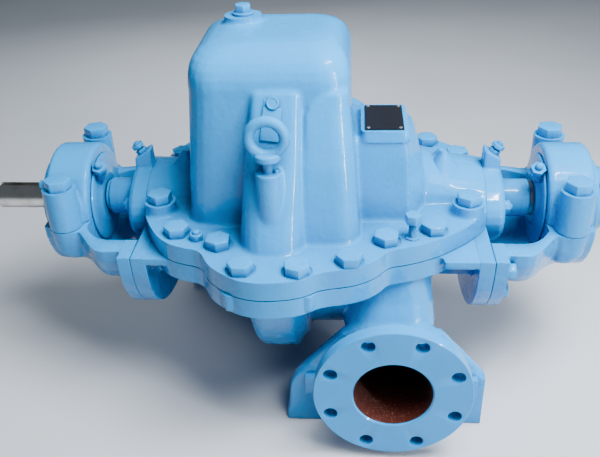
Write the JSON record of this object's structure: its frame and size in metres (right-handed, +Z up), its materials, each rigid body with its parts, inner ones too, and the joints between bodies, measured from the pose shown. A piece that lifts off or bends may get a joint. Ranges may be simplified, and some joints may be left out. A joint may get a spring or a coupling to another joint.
{
  "type": "boiler feed pump",
  "caption": "Horizontal two-stage boiler feed pump with an axially split casing, side suction and discharge flanges, and bearing brackets at both ends.",
  "frame": {"origin": "on the floor under the middle of the pump's outline, which is 47.5 mm along the shaft from the middle of the casing towards the coupling end", "axes": "+X along the shaft away from the coupling end, -Y towards the suction flange, +Z up"},
  "size_m": [1.105, 0.656, 0.6683],
  "materials": {
    "casing_paint": "gloss enamel over cast iron",
    "bearing_paint": "gloss enamel over cast iron",
    "fastener_paint": "gloss enamel over steel",
    "gasket_sheet": "matte sheet",
    "plate_enamel": "satin dark plate",
    "shaft_steel": "turned steel"
  },
  "bodies": {
    "pump": {"lower_casing": "casing_paint", "upper_casing": "casing_paint", "lug_plate": "casing_paint", "left_bearing_bracket": "bearing_paint", "left_bearing_cap": "bearing_paint", "left_inner_cover": "bearing_paint", "left_outer_cover": "bearing_paint", "left_seal_gland": "bearing_paint", "right_bearing_bracket": "bearing_paint", "right_bearing_cap": "bearing_paint", "right_inner_cover": "bearing_paint", "right_outer_cover": "bearing_paint", "right_seal_gland": "bearing_paint", "lifting_eye": "fastener_paint", "vent_plug": "fastener_paint", "jack_screw": "fastener_paint", "front_dowel_nut": "fastener_paint", "rear_dowel_nut": "fastener_paint", "left_drain_plug": "fastener_paint", "left_front_cap_bolt": "fastener_paint", "left_rear_cap_bolt": "fastener_paint", "left_gland_fitting": "fastener_paint", "left_grease_fitting": "fastener_paint", "right_drain_plug": "fastener_paint", "right_front_cap_bolt": "fastener_paint", "right_rear_cap_bolt": "fastener_paint", "right_gland_fitting": "fastener_paint", "right_grease_fitting": "fastener_paint", "front_gasket": "gasket_sheet", "rear_gasket": "gasket_sheet", "rating_plate": "plate_enamel"},
    "rotor": {"shaft": "shaft_steel", "left_drive_collar": "shaft_steel", "right_drive_collar": "shaft_steel"}
  },
  "joints": [
    {"name": "shaft_spin", "type": "hinge", "parent": "pump", "child": "rotor", "pos_m": [0.0475, 0, 0.32], "axis": [1, 0, 0], "continuous": true}
  ]
}
